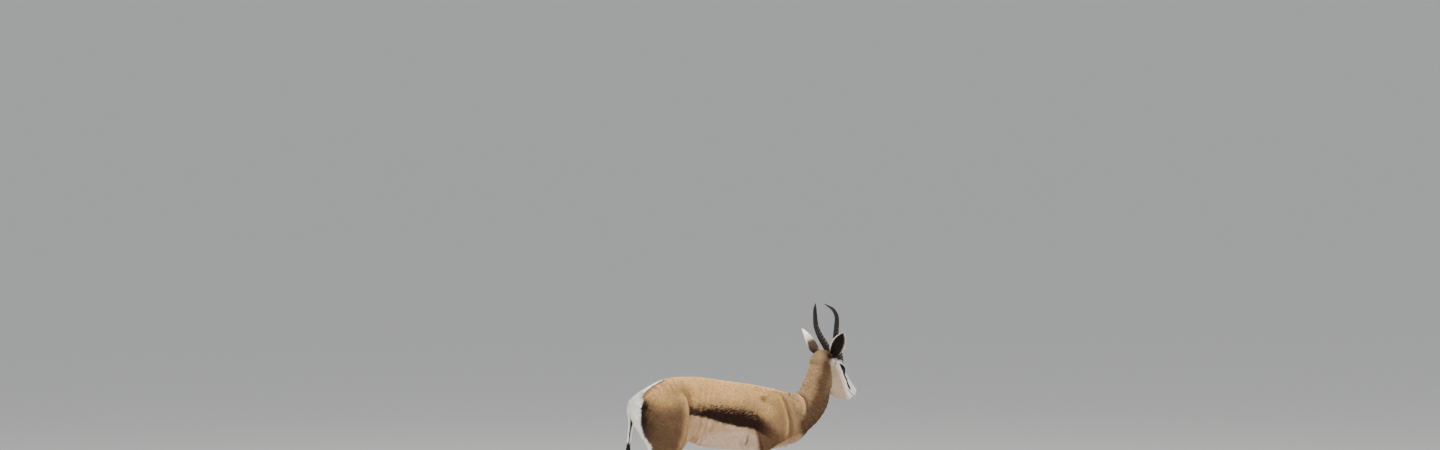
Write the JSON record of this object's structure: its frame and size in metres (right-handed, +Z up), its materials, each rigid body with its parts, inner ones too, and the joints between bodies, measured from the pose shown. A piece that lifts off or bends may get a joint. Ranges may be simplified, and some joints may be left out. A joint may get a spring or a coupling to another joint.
{
  "type": "springbok",
  "caption": "Life-size standing antelope with a lyre of ringed horns, its head turned to its left, cupped ears, cloven hooves and a hanging tufted tail",
  "frame": {"origin": "on the floor, under the middle of the bounding box", "axes": "+X forward towards the head, +Y to the animal's left, +Z up"},
  "size_m": [1.0464, 0.2936, 1.1132],
  "materials": {
    "coat": "short fur, tan with a dark flank band and white underparts",
    "horn": "dark ringed horn",
    "hoof": "dark smooth hoof",
    "eye": "wet dark eye"
  },
  "bodies": {
    "root": {"head": "coat", "neck": "coat", "foreleg_upper_left": "coat", "hindleg_upper_left": "coat", "foreleg_upper_right": "coat", "hindleg_upper_right": "coat", "torso": "coat", "foreleg_middle_left": "coat", "foreleg_lower_left": "coat", "hoof_foreleg_left_inner": "hoof", "hoof_foreleg_left_outer": "hoof", "hindleg_middle_left": "coat", "hindleg_lower_left": "coat", "hoof_hindleg_left_inner": "hoof", "hoof_hindleg_left_outer": "hoof", "foreleg_middle_right": "coat", "foreleg_lower_right": "coat", "hoof_foreleg_right_inner": "hoof", "hoof_foreleg_right_outer": "hoof", "hindleg_middle_right": "coat", "hindleg_lower_right": "coat", "hoof_hindleg_right_inner": "hoof", "hoof_hindleg_right_outer": "hoof", "eye_left": "eye", "horn_left": "horn", "ear_left": "coat", "eye_right": "eye", "horn_right": "horn", "ear_right": "coat", "tail": "coat", "tail_tuft": "coat"}
  },
  "joints": []
}
